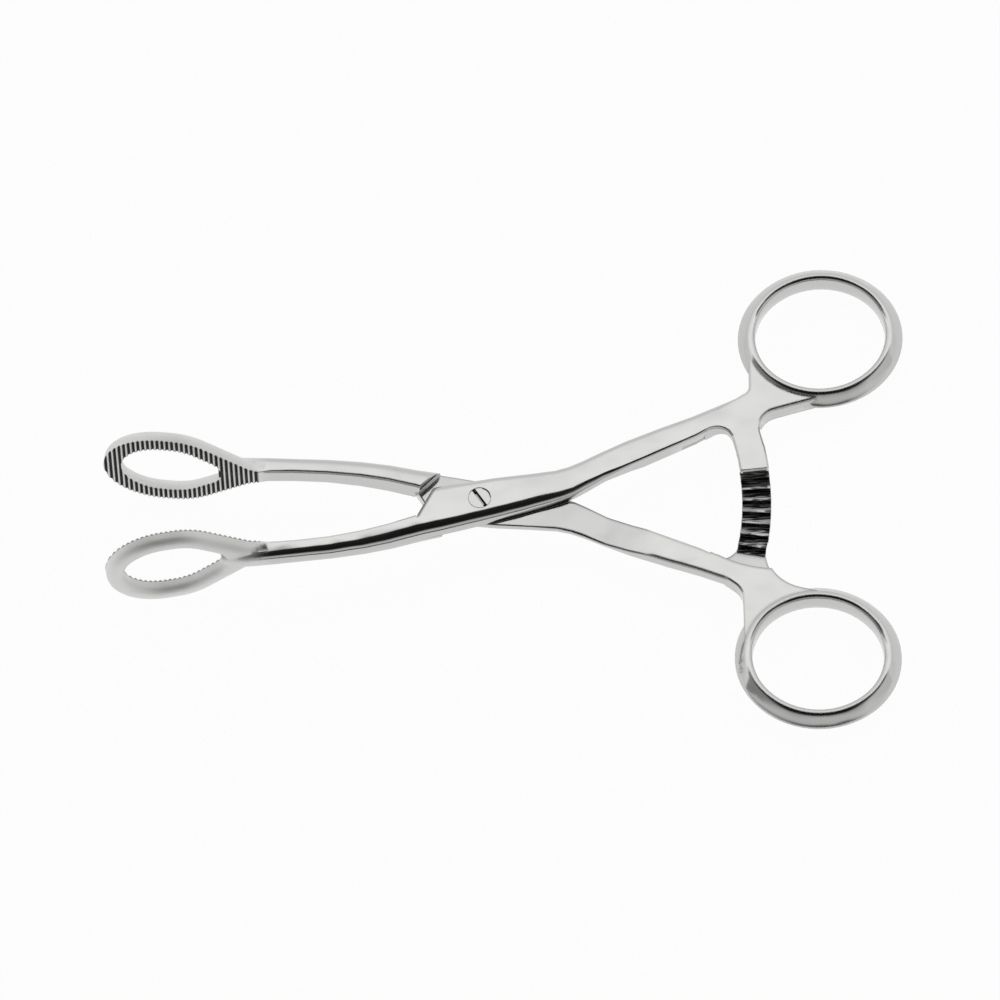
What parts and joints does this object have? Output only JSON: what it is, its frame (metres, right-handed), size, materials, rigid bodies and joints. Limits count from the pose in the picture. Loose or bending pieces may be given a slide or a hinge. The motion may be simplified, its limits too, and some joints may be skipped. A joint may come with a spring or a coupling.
{
  "type": "tongue forceps",
  "caption": "Scissor-type tongue forceps with oval windowed serrated jaws, a lap joint held by a slotted screw, a ratchet and finger rings.",
  "frame": {"origin": "on the hinge axis, in the plane where the two halves lap", "axes": "+X from the joint towards the finger rings, along the line that halves the opening at rest; +Z along the hinge axis, from the under half towards the over half and the screw's head"},
  "size_m": [0.1709, 0.1105, 0.025],
  "materials": {
    "under_steel": "bright polished stainless steel, satin jaw faces",
    "over_steel": "bright polished stainless steel, satin jaw faces",
    "screw_steel": "bright polished stainless steel"
  },
  "bodies": {
    "under": {"under_half": "under_steel", "pivot_screw": "screw_steel"},
    "over": {"over_half": "over_steel"}
  },
  "joints": [
    {"name": "jaw_hinge", "type": "hinge", "parent": "under", "child": "over", "pos_m": [0, 0, 0], "axis": [0, 0, 1], "range_deg": [-17.5, 42.5]}
  ]
}
